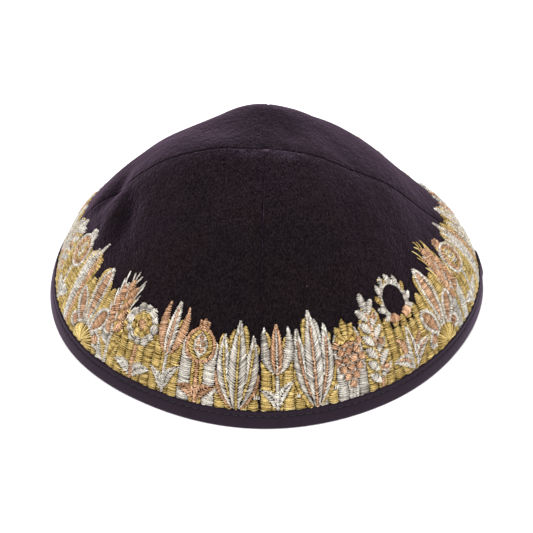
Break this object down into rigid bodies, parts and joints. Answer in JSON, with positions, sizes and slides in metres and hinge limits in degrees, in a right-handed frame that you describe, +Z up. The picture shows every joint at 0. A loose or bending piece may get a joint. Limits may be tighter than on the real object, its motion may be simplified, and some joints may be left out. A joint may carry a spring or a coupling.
{
  "type": "kippah skullcap",
  "caption": "Round velvet skullcap of sewn panels with a band of metallic embroidery and a folded tape binding round its open rim.",
  "frame": {"origin": "middle of the cap's footprint, on the surface that it rests on", "axes": "+Z up through the top of the cap; -Y towards the front seam, +X towards the right seam as the front is seen"},
  "size_m": [0.1763, 0.1762, 0.065],
  "materials": {
    "velvet": "cut pile velvet, purplish black",
    "binding_tape": "plain woven tape, dark purple",
    "metallic_thread": "satin stitch in gold, silver and copper metallic thread"
  },
  "bodies": {
    "root": {"panel_back_right": "velvet", "panel_back_left": "velvet", "panel_front_left": "velvet", "panel_front_right": "velvet", "embroidery_back_right": "metallic_thread", "embroidery_back_left": "metallic_thread", "embroidery_front_left": "metallic_thread", "embroidery_front_right": "metallic_thread", "rim_binding": "binding_tape"}
  },
  "joints": []
}
